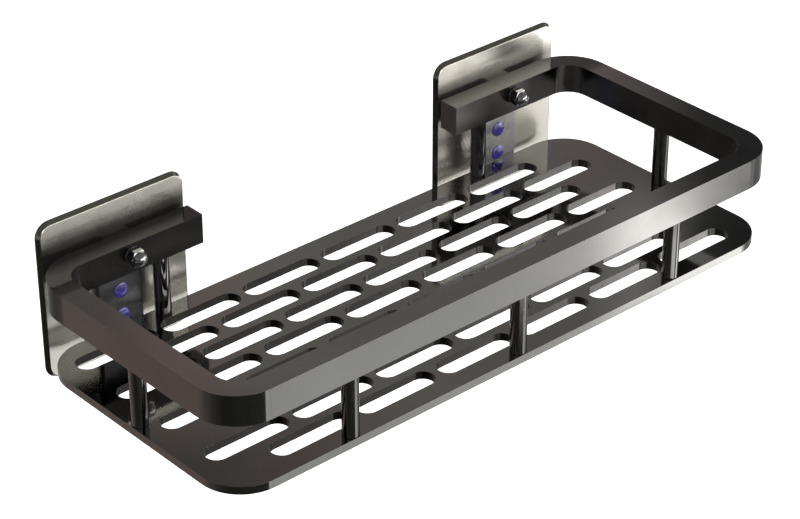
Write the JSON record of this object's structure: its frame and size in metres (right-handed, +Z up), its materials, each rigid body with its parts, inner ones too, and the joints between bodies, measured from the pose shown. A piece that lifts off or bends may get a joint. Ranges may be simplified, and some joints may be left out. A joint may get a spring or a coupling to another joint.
{
  "type": "wall-mounted shower shelf",
  "caption": "Adhesive wall-mounted shower shelf: slotted drain plate on short posts under a flat-bar guard rail, hung on studded square wall plates with cap nuts.",
  "frame": {"origin": "on the wall's plane, midway between the middles of the two wall plates", "axes": "+X along the shelf to the right seen from the room, +Y into the wall, +Z up; the shelf lies towards -Y"},
  "size_m": [0.3, 0.1333, 0.0724],
  "materials": {
    "dark_nickel": "glossy black-nickel plated, mirror-like in soft light",
    "steel_hardware": "plain stainless steel, satin",
    "bracket_steel": "polished grey nickel",
    "bumper_plastic": "glossy blue-violet plastic",
    "wall_plate_steel": "polished stainless steel, warm grey",
    "pad_foam": "matte clear-grey acrylic foam",
    "washer_nylon": "black nylon, satin",
    "bright_chrome": "mirror chrome"
  },
  "bodies": {
    "wall_mounts": {"wall_plate_left": "wall_plate_steel", "wall_plate_right": "wall_plate_steel", "adhesive_pad_left": "pad_foam", "adhesive_pad_right": "pad_foam", "stud_left": "steel_hardware", "stud_right": "steel_hardware"},
    "basket": {"shelf_plate": "dark_nickel", "guard_rail": "dark_nickel", "post_front_left": "dark_nickel", "post_front_middle": "dark_nickel", "post_front_right": "dark_nickel", "post_side_left": "dark_nickel", "post_side_right": "dark_nickel", "post_back_left": "dark_nickel", "post_back_right": "dark_nickel", "post_screws": "steel_hardware", "hanger_bracket_left": "bracket_steel", "hanger_bracket_right": "bracket_steel", "bumper_upper_left": "bumper_plastic", "bumper_upper_right": "bumper_plastic", "bumper_lower_left": "bumper_plastic", "bumper_lower_right": "bumper_plastic"},
    "washer_left": {"washer_left": "washer_nylon"},
    "washer_right": {"washer_right": "washer_nylon"},
    "cap_nut_left": {"cap_nut_left": "bright_chrome"},
    "cap_nut_right": {"cap_nut_right": "bright_chrome"}
  },
  "joints": [
    {"name": "basket_lift_off", "type": "slide", "parent": "wall_mounts", "child": "basket", "axis": [0, -1, 0], "range_m": [0, 0.02]},
    {"name": "washer_left_slide", "type": "slide", "parent": "basket", "child": "washer_left", "axis": [0, -1, 0], "range_m": [0, 0.005]},
    {"name": "cap_nut_left_turn", "type": "hinge", "parent": "washer_left", "child": "cap_nut_left", "pos_m": [-0.1055, -0.0156, 0.0153], "axis": [0, -1, 0], "range_deg": [0, 2571.43]},
    {"name": "washer_right_slide", "type": "slide", "parent": "basket", "child": "washer_right", "axis": [0, -1, 0], "range_m": [0, 0.005]},
    {"name": "cap_nut_right_turn", "type": "hinge", "parent": "washer_right", "child": "cap_nut_right", "pos_m": [0.1055, -0.0156, 0.0153], "axis": [0, -1, 0], "range_deg": [0, 2571.43]}
  ],
  "couplings": [
    {"joint": "cap_nut_left_turn", "follows": "washer_left_slide", "rad_per_m": 8976},
    {"joint": "cap_nut_right_turn", "follows": "washer_right_slide", "rad_per_m": 8976}
  ]
}
